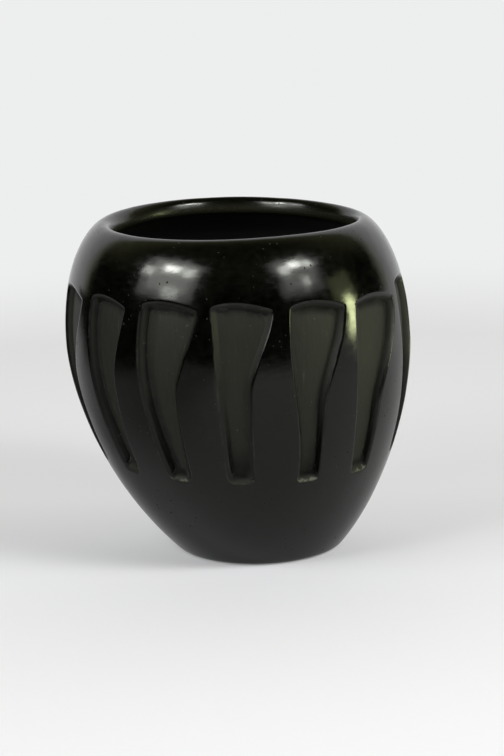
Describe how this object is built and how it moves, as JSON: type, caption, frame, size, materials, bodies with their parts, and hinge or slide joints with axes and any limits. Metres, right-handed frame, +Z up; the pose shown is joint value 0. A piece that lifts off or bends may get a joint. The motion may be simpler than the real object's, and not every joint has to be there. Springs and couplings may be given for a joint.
{
  "type": "carved earthenware jar",
  "caption": "Coil-built black earthenware jar with a wide incurved mouth, burnished wall and a ring of tapering feather panels carved around the belly.",
  "frame": {"origin": "centre of the flat foot, on the surface that the jar stands on", "axes": "+Z up through the mouth, -Y towards the front of the jar, +X to the right of the front"},
  "size_m": [0.1435, 0.1424, 0.1418],
  "materials": {
    "blackware": "smudge-fired black earthenware, stone-burnished slip with matt carved floors"
  },
  "bodies": {
    "root": {"puki_base": "blackware", "coil_1": "blackware", "coil_2": "blackware", "coil_3": "blackware", "coil_4": "blackware", "coil_5": "blackware", "coil_6": "blackware", "coil_7": "blackware", "rim_coil": "blackware"}
  },
  "joints": []
}
